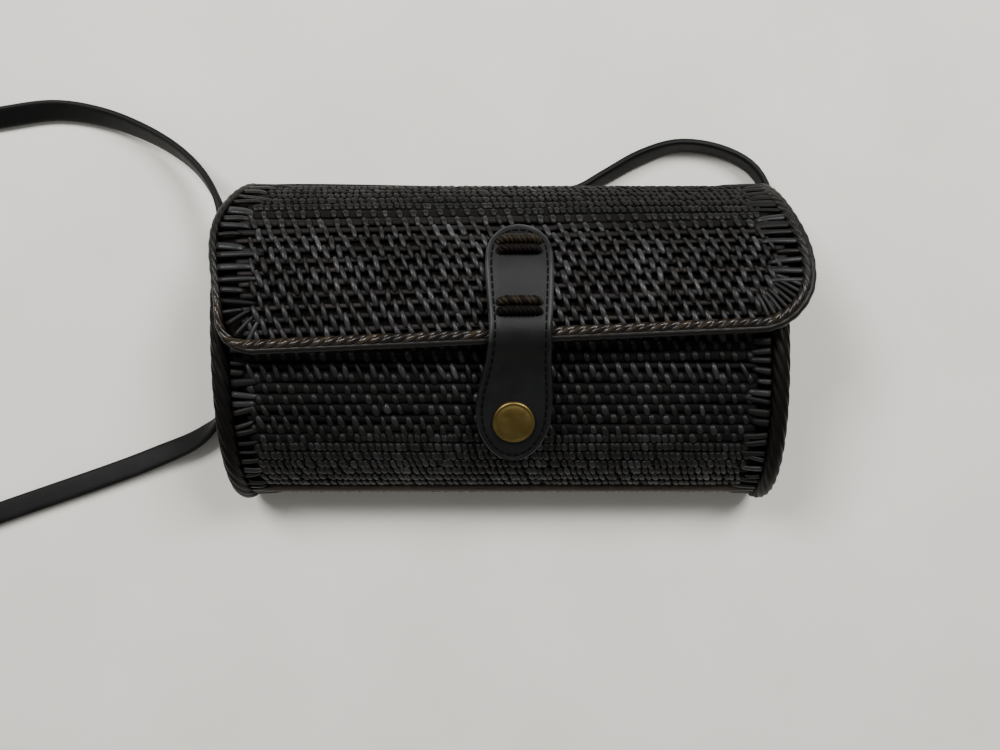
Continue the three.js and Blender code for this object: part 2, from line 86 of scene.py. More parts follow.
# Strap's route from the left end round to the right end, in metres: X, Y, height of its lower edge, and
# the lean of its width in degrees, 0 flat and 90 on edge
STRAP_ROUTE = np.array([
    (-0.1048, 0.018, 0.0196, 90), (-0.105, 0.033, 0.0196, 90), (-0.1057, 0.044, 0.019, 90),
    (-0.1078, 0.0515, 0.017, 82), (-0.1116, 0.0585, 0.014, 76), (-0.1184, 0.067, 0.010, 73),
    (-0.1286, 0.0754, 0.006, 67), (-0.142, 0.083, 0.003, 60), (-0.1588, 0.0893, 0.001, 50),
    (-0.1777, 0.0923, 0.0003, 42), (-0.200, 0.0896, 0.0002, 38), (-0.240, 0.082, 0.0002, 38),
    (-0.292, 0.0655, 0.0002, 44), (-0.340, 0.038, 0.0002, 50), (-0.372, 0.003, 0.0002, 52),
    (-0.380, -0.032, 0.0002, 50), (-0.366, -0.066, 0.0002, 44), (-0.332, -0.089, 0.0002, 34),
    (-0.290, -0.095, 0.0002, 24), (-0.246, -0.0855, 0.0002, 15), (-0.202, -0.0698, 0.0002, 10),
    (-0.1402, -0.0478, 0.0002, 16), (-0.119, -0.0378, 0.0002, 46), (-0.1104, -0.028, 0.0002, 85),
    (-0.1089, -0.010, 0.0002, 90), (-0.1094, 0.040, 0.0002, 90), (-0.1078, 0.0523, 0.0002, 90),
    (-0.1017, 0.0593, 0.0002, 90), (-0.092, 0.0606, 0.0002, 90), (-0.008, 0.0596, 0.0002, 90),
    (0.020, 0.059, 0.0002, 90), (0.031, 0.0603, 0.0002, 96), (0.0413, 0.0652, 0.0002, 110),
    (0.056, 0.0732, 0.0002, 114), (0.071, 0.078, 0.0002, 104), (0.0886, 0.0758, 0.0002, 98),
    (0.101, 0.069, 0.0002, 95), (0.1068, 0.059, 0.0002, 92), (0.1056, 0.048, 0.003, 90),
    (0.105, 0.034, 0.0115, 90), (0.1048, 0.018, 0.0196, 90),
])

chance = np.random.default_rng(11)
collection = bpy.context.scene.collection

# The bag's coordinates against the shared frame's, from two solids whose places are known in both
snap_low, snap_high = (np.array(corner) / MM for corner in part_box("snap_cap"))
rivet_low, rivet_high = (np.array(corner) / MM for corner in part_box("strap_rivet_left"))
snap_middle, rivet_middle = (snap_low[0] + snap_high[0]) / 2, (rivet_low[1] + rivet_high[1]) / 2
SHIFT = np.array([snap_middle - SNAP_X, rivet_middle - RIVET_Y, 0.0])

# Camera: almost straight above the bag, its picture's up along the bag's height
camera = bpy.data.objects.new("camera", bpy.data.cameras.new("camera"))
camera.data.sensor_width = 36.0
camera.data.lens = 34.92
camera.data.clip_start = 0.01
camera.location = (-0.00297, -0.0138, 0.394)
collection.objects.link(camera)
bpy.context.scene.camera = camera


# Materials, with the sizes of their patterns in millimetres
FIBRE_LENGTH, FIBRE_SHIFT, STRAND_GIRTH, TONE_PATCH = 7.0, 40.0, 6.0, 28.0
HIDE_CLOUD, TARNISH, TOOTH = 9.0, 5.0, 60.0
SCRATCH_WIDTH, SCRATCH_LENGTH = 0.12, 2.5


def linear(code):
    """Linear RGBA of an sRGB hex colour."""
    srgb = np.array([int(code[k:k + 2], 16) for k in (1, 3, 5)]) / 255
    return (*np.where(srgb <= 0.04045, srgb / 12.92, ((srgb + 0.055) / 1.055) ** 2.4), 1.0)


def node(tree, kind, links=(), stops=(), values=(), **settings):
    """Adds a node. links are (input, node, output), stops a ramp's (place, hex) and values (input, number).

    Its other settings are given by name.
    """
    made = tree.nodes.new(kind)
    for name, value in settings.items():
        if hasattr(made, name):
            setattr(made, name, value)
        else:
            made.inputs[name.replace("_", " ")].default_value = value
    for target, value in values:
        made.inputs[target].default_value = value
    for number, (place, code) in enumerate(stops):
        ramp = made.color_ramp.elements
        stop = ramp[number] if number < len(ramp) else ramp.new(place)
        stop.position, stop.color = place, linear(code)
    for target, source, output in links:
        tree.links.new(source.outputs[output], made.inputs[target])
    return made


def new_material(name):
    """An empty node material with its output and surface shader."""
    material = bpy.data.materials.new(name)
    material.use_nodes = True
    return material, material.node_tree, material.node_tree.nodes["Principled BSDF"]


def grass(name, stops, roughness, gloss, fibre_mm, patch):
    """Dyed grass strands: each has its own tone, with fibres along it, and paler and darker patches."""
    material, tree, shader = new_material(name)
    tone = node(tree, "ShaderNodeAttribute", attribute_name="tone")
    run = node(tree, "ShaderNodeUVMap", uv_map="strand")
    # The map's U is millimetres along the strand and its V one turn round it.
    stretched = node(tree, "ShaderNodeMapping", [("Vector", run, "UV")],
                     Scale=(1 / FIBRE_LENGTH, STRAND_GIRTH / fibre_mm, 1))
    fibres = node(tree, "ShaderNodeTexNoise", [("Vector", stretched, "Vector")], Scale=1.0, Detail=3.0)
    place = node(tree, "ShaderNodeTexCoord")
    patches = node(tree, "ShaderNodeTexNoise", [("Vector", place, "Object")],
                   Scale=1 / (TONE_PATCH * MM), Detail=2.0)
    fine = node(tree, "ShaderNodeMath", [(0, fibres, "Fac")], values=[(1, 0.5), (2, -0.25)],
                operation="MULTIPLY_ADD")
    broad = node(tree, "ShaderNodeMath", [(0, patches, "Fac")], values=[(1, patch), (2, -patch / 2)],
                 operation="MULTIPLY_ADD")
    mixed = node(tree, "ShaderNodeMath", [(0, tone, "Fac"), (1, fine, 0)], operation="ADD")
    mixed = node(tree, "ShaderNodeMath", [(0, mixed, 0), (1, broad, 0)], operation="ADD", use_clamp=True)
    ramp = node(tree, "ShaderNodeValToRGB", [("Fac", mixed, 0)], stops)
    # Darker strands are rougher too.
    worn = node(tree, "ShaderNodeMath", [(0, fibres, "Fac")], values=[(1, 0.3), (2, roughness + 0.04)],
                operation="MULTIPLY_ADD")
    rough = node(tree, "ShaderNodeMath", [(0, mixed, 0), (2, worn, 0)], values=[(1, -0.45)],
                 operation="MULTIPLY_ADD")
    bump = node(tree, "ShaderNodeBump", [("Height", fibres, "Fac")], Strength=0.5, Distance=0.12 * MM)
    tree.links.new(ramp.outputs["Color"], shader.inputs["Base Color"])
    tree.links.new(rough.outputs[0], shader.inputs["Roughness"])
    tree.links.new(bump.outputs["Normal"], shader.inputs["Normal"])
    shader.inputs["Specular IOR Level"].default_value = gloss
    return material


# Split ata grass, dyed near black and woven: satin strands, some greyer and some browner; the palest greys
# partly paint the strands' highlights
woven_grass = grass(
    "ata_grass_dyed_woven", [(0, "#060505"), (0.45, "#151413"), (0.75, "#2a2a2b"), (1, "#444445")],
    roughness=0.45, gloss=0.19, fibre_mm=0.28, patch=0.5)
# The same grass in whole round rods: a little darker, duller and browner
rod_grass = grass(
    "ata_grass_dyed_rods", [(0, "#070606"), (0.45, "#110f0e"), (0.75, "#262322"), (1, "#3f362e")],
    roughness=0.6, gloss=0.09, fibre_mm=0.3, patch=0.5)
# The plain inner face of the walls, painted near black as the shade deep in the weave
lining_painted_shade = grass(
    "ata_grass_inner_painted_shade", [(0, "#0c0a09"), (0.5, "#12100e"), (1, "#181513")],
    roughness=0.8, gloss=0.03, fibre_mm=0.4, patch=0.3)
# The same grass wound over the ends' edges: near black brown and dull
wound_grass = grass(
    "ata_grass_dyed_wound", [(0, "#060504"), (0.4, "#0d0a08"), (0.75, "#18130e"), (1, "#2e271e")],
    roughness=0.4, gloss=0.11, fibre_mm=0.3, patch=0.35)
# The same grass braided over the lid's edge: dark brown, shinier on the worn ridges
rim_grass = grass(
    "ata_grass_dyed_braided", [(0, "#060504"), (0.4, "#0d0a08"), (0.75, "#1c1610"), (1, "#352d23")],
    roughness=0.36, gloss=0.26, fibre_mm=0.3, patch=0.35)
# Palm fibre cord, dyed brown and twisted hard: dull, with pale rubbed ridges and painted shade between them
lash_fibre = grass(
    "palm_fibre_cord_twisted", [(0, "#050303"), (0.5, "#0e0907"), (1, "#2a2419")],
    roughness=0.55, gloss=0.08, fibre_mm=0.2, patch=0.2)


def leather(name, stops, roughness, gloss, grain_mm):
    """Smooth finished hide: fine pebbled grain, clouded colour, paler or darker as its tone paints wear,
    highlight and shade.
    """
    material, tree, shader = new_material(name)
    place = node(tree, "ShaderNodeTexCoord")
    cells = node(tree, "ShaderNodeTexVoronoi", [("Vector", place, "Object")], Scale=1 / (grain_mm * MM))
    cloud = node(tree, "ShaderNodeTexNoise", [("Vector", place, "Object")],
                 Scale=1 / (HIDE_CLOUD * MM), Detail=4.0)
    tone = node(tree, "ShaderNodeAttribute", attribute_name="tone")
    # Clouds plus the tone attribute, which paints rubbed edges, highlights and shade
    rubbed_and_painted_light = node(tree, "ShaderNodeMath", [(0, cloud, "Fac"), (1, tone, "Fac")],
                  operation="ADD", use_clamp=True)
    ramp = node(tree, "ShaderNodeValToRGB", [("Fac", rubbed_and_painted_light, 0)], stops)
    worn = node(tree, "ShaderNodeMath", [(0, cloud, "Fac")], values=[(1, 0.22), (2, roughness - 0.11)],
                operation="MULTIPLY_ADD")
    grain = node(tree, "ShaderNodeBump", [("Height", cells, "Distance")], Strength=0.22, Distance=0.1 * MM)
    bump = node(tree, "ShaderNodeBump", [("Height", cloud, "Fac"), ("Normal", grain, "Normal")],
                Strength=0.3, Distance=0.25 * MM)
    tree.links.new(ramp.outputs["Color"], shader.inputs["Base Color"])
    tree.links.new(worn.outputs[0], shader.inputs["Roughness"])
    tree.links.new(bump.outputs["Normal"], shader.inputs["Normal"])
    shader.inputs["Specular IOR Level"].default_value = gloss
    return material


# Cowhide, dyed black and smooth finished: charcoal sheen, faint clouds, paler edges, partly rubbed and partly
# painted highlight
tab_leather = leather(
    "cowhide_black_smooth", [(0, "#050606"), (0.5, "#0a0b0b"), (0.75, "#0f1010"), (1, "#343636")],
    roughness=0.46, gloss=0.25, grain_mm=0.55)
# Cowhide strip folded over and pressed into a strap: slightly coarser grain and more matt
strap_leather = leather(
    "cowhide_black_folded", [(0, "#050505"), (0.5, "#080808"), (1, "#131312")],
    roughness=0.54, gloss=0.16, grain_mm=0.6)
# Waxed thread, twisted: near black
thread = grass(
    "waxed_thread_twisted", [(0, "#060606"), (1, "#0c0c0d")],
    roughness=0.7, gloss=0.05, fibre_mm=0.15, patch=0.1)

# Antique brass, pressed and lacquered: dull gold with clouds of brown tarnish and fine scratches
brass, tree, shader = new_material("brass_antique_pressed")
place = node(tree, "ShaderNodeTexCoord")
tarnish = node(tree, "ShaderNodeTexNoise", [("Vector", place, "Object")],
               Scale=1 / (TARNISH * MM), Detail=5.0)
gold = node(tree, "ShaderNodeValToRGB", [("Fac", tarnish, "Fac")],
            [(0.25, "#6c5b2e"), (0.5, "#746337"), (0.8, "#7d6d41")])
streak = node(tree, "ShaderNodeMapping", [("Vector", place, "Object")],
              Scale=[1 / (size * MM) for size in (SCRATCH_WIDTH, SCRATCH_LENGTH, SCRATCH_LENGTH)])
scratch = node(tree, "ShaderNodeTexNoise", [("Vector", streak, "Vector")], Scale=1.0, Detail=2.0)
polish = node(tree, "ShaderNodeMath", [(0, tarnish, "Fac")], values=[(1, 0.25), (2, 0.24)],
              operation="MULTIPLY_ADD")
scored = node(tree, "ShaderNodeBump", [("Height", scratch, "Fac")], Strength=0.12, Distance=0.05 * MM)
tree.links.new(gold.outputs["Color"], shader.inputs["Base Color"])
tree.links.new(polish.outputs[0], shader.inputs["Roughness"])
tree.links.new(scored.outputs["Normal"], shader.inputs["Normal"])
shader.inputs["Metallic"].default_value = 1.0

# Matt paper backdrop: plain and pale, with the faintest tooth
backdrop, tree, shader = new_material("paper_backdrop_matt")
place = node(tree, "ShaderNodeTexCoord")
tooth = node(tree, "ShaderNodeTexNoise", [("Vector", place, "Object")], Scale=1 / (TOOTH * MM), Detail=3.0)
pale = node(tree, "ShaderNodeValToRGB", [("Fac", tooth, "Fac")], [(0.3, "#dfddd5"), (0.7, "#e6e4dc")])
tree.links.new(pale.outputs["Color"], shader.inputs["Base Color"])
shader.inputs["Roughness"].default_value = 0.9


# Shapes

def unit(vectors):
    """Vectors scaled to length 1."""
    return vectors / np.linalg.norm(vectors, axis=-1, keepdims=True)


def ease(value, start, end):
    """Smooth step from 0 at start to 1 at end."""
    share = np.clip((value - start) / (end - start), 0, 1)
    return share * share * (3 - 2 * share)


def squared(wave, power):
    """A sine or cosine with fuller peaks: its sign times a power, below 1, of its size."""
    return np.sign(wave) * np.abs(wave) ** power


def hermite(p, q, m, n, w):
    """Cubic from p to q with end slopes m and n, at the shares w of the span."""
    return (p * (2 * w**3 - 3 * w**2 + 1) + q * (3 * w**2 - 2 * w**3)
            + m * (w**3 - 2 * w**2 + w) + n * (w**3 - w**2))


def spline(rows, t):
    """Uniform Catmull-Rom curve through the rows, one unit of t a span, its end rows repeated."""
    ends = np.vstack([rows[:1], rows, rows[-1:]])
    span = np.minimum(t.astype(int), len(rows) - 2)
    a, b, c, d = (ends[span + k] for k in range(4))
    return hermite(b, c, (c - a) / 2, (d - b) / 2, (t - span)[:, None])


def route(points, t):
    """Centripetal Catmull-Rom curve through the points, one unit of t a span, ends carried on straight."""
    ends = np.vstack([2 * points[0] - points[1], points, 2 * points[-1] - points[-2]])
    span = np.minimum(t.astype(int), len(points) - 2)
    a, b, c, d = (ends[span + k] for k in range(4))
    ab, bc, cd = (np.linalg.norm(q - p, axis=1, keepdims=True) ** 0.5 for p, q in ((a, b), (b, c), (c, d)))
    start = ((b - a) / ab - (c - a) / (ab + bc) + (c - b) / bc) * bc
    end = ((c - b) / bc - (d - b) / (bc + cd) + (d - c) / cd) * bc
    return hermite(b, c, start, end, (t - span)[:, None])


def lengths(points):
    """Distance along a line of points, from its first one."""
    return np.concatenate([[0], np.cumsum(np.linalg.norm(np.diff(points, axis=0), axis=1))])


def evenly(columns, step):
    """A line of points with other columns after its three places, resampled at even steps of its length."""
    run = lengths(columns[:, :3])
    at = np.linspace(0, run[-1], int(run[-1] / step) + 1)
    return np.stack([np.interp(at, run, column) for column in columns.T], axis=1)


def profile(turn, offset):
    """End profile at a turn in degrees, moved out by an offset: Y, Z and its normal, as columns.

    The front is half a superellipse, deeper towards the base, and the back corners are quarter circles.
    """
    turn, offset = np.broadcast_arrays(np.asarray(turn, float), offset)
    angle = np.radians(turn)
    side = np.where(turn < 90, -1.0, 1.0)
    reach = np.where(turn < 90, BASE_REACH, TOP_REACH)
    corner = (turn <= 0) | (turn >= 180)
    along = np.abs(np.cos(angle)) ** (2 / ROUNDNESS)
    height = np.clip(np.sin(angle), 0, 1) ** (2 / ROUNDNESS)
    normal = unit(np.stack([
        np.where(corner, -np.cos(angle), side * along ** (ROUNDNESS - 1) / reach),
        np.where(corner, np.sin(angle), height ** (ROUNDNESS - 1) / RISE),
    ], axis=-1))
    y = np.where(corner, side * (reach - BACK_CORNER) + BACK_CORNER * normal[..., 0], side * reach * along)
    z = BACK_CORNER + np.where(corner, BACK_CORNER * normal[..., 1], RISE * height)
    return np.concatenate([np.stack([y, z], axis=-1) + offset[..., None] * normal, normal], axis=-1)


def lid_gap(turn):
    """Clearance of the lid's inner face over the end rims, widest over the upper front."""
    share = ((180 - np.asarray(turn, float)) / 100) ** 2
    return LID_REAR_GAP + (LID_FRONT_GAP - LID_REAR_GAP) * share + LID_BULGE * np.sin(np.pi * share)


def along_section(section, distance):
    """Columns of a section at distances along it."""
    run = lengths(section[:, :2])
    return np.stack([np.interp(distance, run, column) for column in section.T], axis=-1)


def lifted(x, at, height):
    """Points at X over a section's columns of Y, Z and normal, raised by a height along the normal."""
    return np.stack([x, at[..., 0] + height * at[..., 2], at[..., 1] + height * at[..., 3]], axis=-1)


def frames(centres, normals, ring=False):
    """Directions across and up at each station, from the path's tangent and the normal it lies on."""
    if ring:
        tangents = np.roll(centres, -1, axis=1) - np.roll(centres, 1, axis=1)
    else:
        tangents = np.gradient(centres, axis=1)
    tangents = unit(tangents)
    across = unit(np.cross(tangents, normals))
    return across, np.cross(across, tangents)


def oval(width, depth, sides):
    """Oval section of a width and a depth at each station, its seam underneath."""
    angle = -np.pi / 2 + 2 * np.pi * (np.arange(sides) + 0.5) / sides
    return (width[..., None] / 2) * np.cos(angle), (depth[..., None] / 2) * np.sin(angle)


def faces(index, ring=False):
    """Quads of skins whose points are numbered by strand, station and place round it, with flat end caps."""
    here, there = (index, np.roll(index, -1, axis=1)) if ring else (index[:, :-1], index[:, 1:])
    quads = np.stack([here, there, np.roll(there, -1, axis=2), np.roll(here, -1, axis=2)], axis=-1)
    if ring:
        return quads.reshape(-1, 4)
    sides = index.shape[2]
    k = np.arange(sides // 2 - 1)
    cap = np.stack([k, k + 1, sides - 2 - k, sides - 1 - k], axis=-1)
    caps = index[:, 0][:, cap], index[:, -1][:, cap[:, ::-1]]
    return np.vstack([part.reshape(-1, 4) for part in (quads, *caps)])


def tubes(centres, across, up, section, tone, ring=False):
    """Skins of sections carried along centrelines, each point its centre + a across + b up.

    Arrays run strand by strand, station by station, then round the section. Each strand's fibres start
    at a place of their own along it.
    """
    a, b = section
    count, _, sides = a.shape
    points = centres[:, :, None] + a[..., None] * across[:, :, None] + b[..., None] * up[:, :, None]
    quads = faces(np.arange(a.size).reshape(a.shape), ring)
    steps = np.linalg.norm(np.diff(centres, axis=1), axis=2)
    run = np.concatenate([np.zeros((count, 1)), np.cumsum(steps, axis=1)], axis=1)
    run = run + FIBRE_SHIFT * chance.random((count, 1))
    uv = np.stack(np.broadcast_arrays(run[..., None], np.arange(sides) / sides), axis=-1)
    return points.reshape(-1, 3), quads, uv.reshape(-1, 2), np.broadcast_to(tone, a.shape).reshape(-1)


def strands(place, x, at, height, width, depth, sides, tone):
    """Oval strands along lines of a sheet, whose points and way up place(x, at, height) gives."""
    centres = place(x, at, height)
    normals = unit(place(x, at, height + 1) - centres)
    return tubes(centres, *frames(centres, normals), oval(width, depth + 0 * width, sides), tone)


def joined(*parts):
    """Several skins as one."""
    starts = np.cumsum([0] + [len(part[0]) for part in parts[:-1]])
    quads = np.vstack([part[1] + start for part, start in zip(parts, starts)])
    return (np.vstack([part[0] for part in parts]), quads,
            np.vstack([part[2] for part in parts]), np.concatenate([part[3] for part in parts]))


def add_piece(name, skin, material, slot, *nodes):
    """One piece from a skin, in the shared frame, standing for the named solids."""
    points, quads, uv, tone = skin
    mesh = bpy.data.meshes.new(name)
    mesh.from_pydata((points + SHIFT) * MM, [], quads)
    mesh.polygons.foreach_set("use_smooth", np.ones(len(quads), bool))
    corners = np.empty(len(mesh.loops), np.int32)
    mesh.loops.foreach_get("vertex_index", corners)
    mesh.uv_layers.new(name="strand").data.foreach_set("uv", uv[corners].astype(np.float32).ravel())
    mesh.attributes.new("tone", "FLOAT", "POINT").data.foreach_set("value", tone.astype(np.float32))
    mesh.materials.append(material)
    piece = bpy.data.objects.new(name, mesh)
    collection.objects.link(piece)
    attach(piece, "root")
    if nodes:
        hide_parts(*nodes)
    return piece


# Strap first: a folded strip of hide, laid on the surface and riveted to both ends

def strap_line(step):
    """Even stations of the strap: place and lean, its middle held up by half of its height at that lean."""
    lean = np.radians(STRAP_ROUTE[:, 3])
    tall = (STRAP_WIDTH * np.sin(lean) + STRAP_WALL * np.abs(np.cos(lean))) / 2
    points = STRAP_ROUTE[:, :3] / MM + tall[:, None] * np.array([0, 0, 1])
    t = np.linspace(0, len(points) - 1, 4000)
    return evenly(np.hstack([route(points, t), spline(STRAP_ROUTE[:, 3:], t)]), step)


strap_stations = strap_line(STRAP_STEP)
centres, lean = strap_stations[None, :, :3], np.radians(strap_stations[None, :, 3:])
tangents = unit(np.gradient(centres, axis=1))
level = unit(np.cross(tangents, np.array([0, 0, 1.0])))
across = level * np.cos(lean) + np.cross(level, tangents) * np.sin(lean)
# Section round the strap: flat faces, round edges and a shallow fold in the upper face, two thirds across
around = 2 * np.pi * np.arange(STRAP_SIDES) / STRAP_SIDES
wide, thick = squared(np.cos(around), 0.45), squared(np.sin(around), 0.6)
fold = FOLD_DEPTH * np.exp(-((wide - FOLD_AT) / FOLD_SPREAD) ** 2) * (np.sin(around) > 0)
section = STRAP_WIDTH / 2 * wide, STRAP_WALL / 2 * thick - fold
section = tuple(np.broadcast_to(side, (1, centres.shape[1], STRAP_SIDES)) for side in section)
# Tone painted on the strap: its edges paler, as rubbed and as a painted highlight, and painted shade along
# the fold
rubbed_and_painted_light = 0.25 * np.abs(wide) ** 8 - 0.8 * fold
strap = add_piece("strap_leather", tubes(centres, across, np.cross(across, tangents), section, rubbed_and_painted_light),
                  strap_leather, "strap_leather", "strap")


# Weave, in millimetres: pitch of the stitches, a rod's width where the weave is open and its depth where it
# is tight, the widest stitch's width and depth, and the depth of the strands that bind an edge
STITCH_PITCH = 4.85
ROD_OPEN_WIDTH, ROD_DEPTH = 1.7, 2.0
STITCH_WIDTH, STITCH_DEPTH = 2.7, 0.95
BINDING_DEPTH = 1.2
# Tone of the plain faces under the weave, and how deep they lie
LINING_TONE = 0.3
BODY_LINING, PANEL_LINING, LID_LINING = 2.3, 1.7, 2.6


def weave(place, low, high, openness, shades, rod_shades, margin, kept=None):
    """Woven sheet over its rows: a rod along each row, and slanted stitches that wrap it.

    place(x, row, height) gives points of the sheet, and openness(x, row) says how it is woven: 1 where the
    rods are thin and stand apart and each stitch spans the dark gap to the next, 0 where the rods are flat
    and close and each stitch is a low bump over its own rod, and -1 where twice as many stitches hide the
    rods. shades are the stitches' tones in these three, dense first, and rod_shades the rods' tones where
    they are close and where they stand apart. Rods end a margin inside the rows.
    """
    rows = np.arange(len(low), dtype=float)[:, None]

    def handmade(x, row):
        """Small wave of the rows along the sheet, in shares of a row."""
        return 0.05 * np.sin(x / 19 + 1.7 * row) + 0.04 * np.sin(x / 7.3 + 2.9 * row)

    # Rods: ovals that nearly fill their row where it is tight
    x = low[:, None] + margin + (high - low - 2 * margin)[:, None] * np.linspace(0, 1, 120)
    opened, at = np.clip(openness(x, rows + 0 * x), 0, 1), rows + handmade(x, rows)
    spacing = np.linalg.norm(place(x, at + 0.5, 0.0) - place(x, at - 0.5, 0.0), axis=-1)
    width = 1.08 * spacing * (1 - opened) + ROD_OPEN_WIDTH * opened
    depth = ROD_DEPTH - 0.4 * opened
    tone = np.interp(opened, (0, 1), rod_shades)[..., None] + 0.2 * (chance.random((len(low), 1, 1)) - 0.5)
    rods = strands(place, x, at, -0.3 - 0.25 * opened - depth / 2, width, depth, 8, tone)

    def sewn(phase, sunk, most):
        """One set of stitches: each leans down to the right, its ends dipping beside the rods."""
        count = int((high - low).max() / STITCH_PITCH)
        x = low[:, None] + STITCH_PITCH * (np.arange(count) + phase + 0.5 * (rows % 2))
        # Every other row is moved on by half of the stitches' step, which is halved where they are dense.
        x = x + 0.25 * STITCH_PITCH * (rows % 2) * np.clip(-openness(x, rows + 0 * x), 0, 1)
        x = x + chance.normal(0, 0.32, x.shape)
        row = rows + 0 * x
        mask = (x < high[:, None] - 0.6) & (openness(x, row) < most)
        if kept is not None:
            mask &= kept(x, row)
        x, row = x[mask], row[mask]
        weight = np.clip(openness(x, row) + chance.normal(0, 0.08, x.size), -1, 1)[:, None]
        opened, dense = np.clip(weight, 0, 1), np.clip(-weight, 0, 1)
        t = np.array([-1, -0.8, 0, 0.8, 1])
        lean = (1.0 + 1.2 * opened + 0.3 * dense) * (1 + chance.normal(0, 0.2, (x.size, 1)))
        at = (row + handmade(x, row))[:, None] + 0.5 * opened + (0.4 + 0.36 * opened + 0.06 * dense) * t
        dip = (1.1 - 0.85 * dense) * np.abs(t) ** 2.2
        height = -sunk - (1 - opened) * dip - opened * (0.05 + 0.9 * np.abs(t) ** 8)
        height = height + chance.normal(0, 0.08, (x.size, 1)) * (1 - 0.6 * dense)
        width = (STITCH_WIDTH - 0.7 * opened - 0.5 * dense) * (1 - 0.3 * t**2)
        width = width * (1 + chance.normal(0, 0.1, (x.size, 1)))
        tone = np.interp(weight, (-1, 0, 1), shades)[..., None] + chance.normal(0, 0.12, (x.size, 1, 1))
        return strands(place, x[:, None] + lean * t / 2, at, height, width, STITCH_DEPTH - 0.35 * dense, 6,
                       np.clip(tone, 0, 1))

    return rods, sewn(0.3, 0.0, 1.1), sewn(0.8, 0.08, -0.05)


def edge_strands(place, edge, inward, rows, length, openness, shades):
    """Long strands that bind a woven sheet's edge: each runs inward along its row and dips in at its end."""
    t, each = np.linspace(0, 1, 7), (len(rows), 1)
    reach = length * (1 + chance.normal(0, 0.22, each))
    x = edge[:, None] + inward * reach * t
    row = rows[:, None] + 0.5 + chance.normal(0, 0.12, each) + chance.normal(0, 0.3, each) * t
    height = 0.45 - 0.3 * t - 1.4 * t**6
    spacing = np.linalg.norm(place(x, row + 0.5, 0.0) - place(x, row - 0.5, 0.0), axis=-1)
    opened = np.clip(openness(x, row), 0, 1)
    width = (0.7 * (1 - opened) + 0.54 * opened) * spacing * (1 - 0.25 * t**3)
    width = width * (1 + chance.normal(0, 0.2, each))
    tone = np.interp(openness(x, row), (-1, 0, 1), shades) - 0.06 + chance.normal(0, 0.26, each)
    tone = np.clip(tone, 0, 0.68)[..., None]
    return strands(place, x, row, height, width, BINDING_DEPTH, 6, tone)


def carried(loop, low, high):
    """Closed outline in Y and Z, carried along X from low to high and leaning as the bag's ends do."""
    x = np.array([low, high])[None, :, None]
    centres = np.concatenate([x, 0 * x, 0 * x], axis=-1)
    across = np.broadcast_to([-END_LEAN, 1.0, 0.0], centres.shape)
    up = np.broadcast_to([0.0, 0.0, 1.0], centres.shape)
    section = tuple(np.broadcast_to(loop[:, k], (1, 2, len(loop))) for k in (0, 1))
    return tubes(centres, across, up, section, LINING_TONE)


def wall(outer, inner):
    """Plain wall between two section lines, over the length between the end rims."""
    return carried(np.vstack([inner, outer[::-1]]), -SHELL_END, SHELL_END)


# Body: front, base and back in one sheet from the mouth round to the hinge
BODY_PITCH = 3.9
# Stitch tones where dense, tight and open: the dense base is painted paler for light thrown up by the floor,
# and the open stitches' pale grey is partly painted highlight
BODY_SHADES = 0.42, 0.36, 0.56
BASE_ROD, BASE_ROD_ROW = 4.2, 22.6
body_turns = np.concatenate([
    np.linspace(MOUTH_TURN, 0.5, 160), np.linspace(0, -90, 31), np.linspace(270, BACK_EDGE_TURN, 24),
])
body_section = profile(body_turns, -RIM_PROUD)
body_rows = int(lengths(body_section[:, :2])[-1] / BODY_PITCH)


def on_body(x, row, height):
    """Point of the body's face along X, at a row from the mouth, at a height over it."""
    points = lifted(x, along_section(body_section, (row + 0.45) * BODY_PITCH), height)
    points[..., 0] -= END_LEAN * points[..., 1]
    return points


def body_openness(x, row):
    """Tight over the front, with two loose rows and looser streaks, and dense round the base and the back."""
    loose = 0.1 + 0.3 * np.sin(2.4 * row + x / 41) * np.sin(row / 1.9 - x / 63)
    loose = loose + 0.7 * np.exp(-((row - 8) / 0.5) ** 2)
    loose = loose + 0.75 * np.exp(-((row - 13) / 0.5) ** 2) * ease(x, 10, -55)
    front = ease(on_body(x, row, 0.0)[..., 1], -48, -34) * (row < body_rows / 2)
    return np.clip(loose, 0, 0.85) * front - 0.8 * (1 - front)


def body_stitched(x, row):
    """True where the body has stitches: clear of its bound edges and of the rod where the base begins."""
    return (np.abs(x) < SHELL_END - 6.4) & (np.abs(row - BASE_ROD_ROW) > 1)


rod_end = np.full(body_rows, SHELL_END - 0.6)
rods, stitches, deeper = weave(on_body, -rod_end, rod_end, body_openness, BODY_SHADES,
                               rod_shades=(0.08, 0.2), margin=4.0, kept=body_stitched)
rows = np.arange(body_rows, dtype=float)
binding = []
for side in (-1, 1):
    edge = np.full(body_rows, side * (SHELL_END - 0.2))
    binding.append(edge_strands(on_body, edge, -side, rows, 7.5, body_openness, BODY_SHADES))
add_piece("body_stitches", joined(stitches, *binding), woven_grass, "woven_straw", "body_shell")
add_piece("body_stitches_deeper", deeper, woven_grass, "woven_straw")
# A thicker round rod between two rows, where the base begins
x = np.linspace(-SHELL_END + 0.4, SHELL_END - 0.4, 120)[None]
at = BASE_ROD_ROW + 0.03 * np.sin(x / 23)
width = BASE_ROD * (1 + 0.03 * np.sin(x / 5.1) * np.sin(x / 17))
# Its tone near the top of the ramp: a paler brown rod, partly its own colour and partly painted light from
# the floor below
base_rod = strands(on_body, x, at, 1.0 - BASE_ROD / 2, width, width, 12, 0.95)
add_piece("body_rods", joined(rods, base_rod), rod_grass, "woven_straw")
body_outer = body_section[::3, :2] - BODY_LINING * body_section[::3, 2:]
body_inner = body_section[::3, :2] - WALL * body_section[::3, 2:]
add_piece("body_lining", wall(body_outer, body_inner), lining_painted_shade, "woven_straw")


# Rims: grass wound in ridges round a core, with a new strand after about so many millimetres
STRAND_LENGTH = 45.0


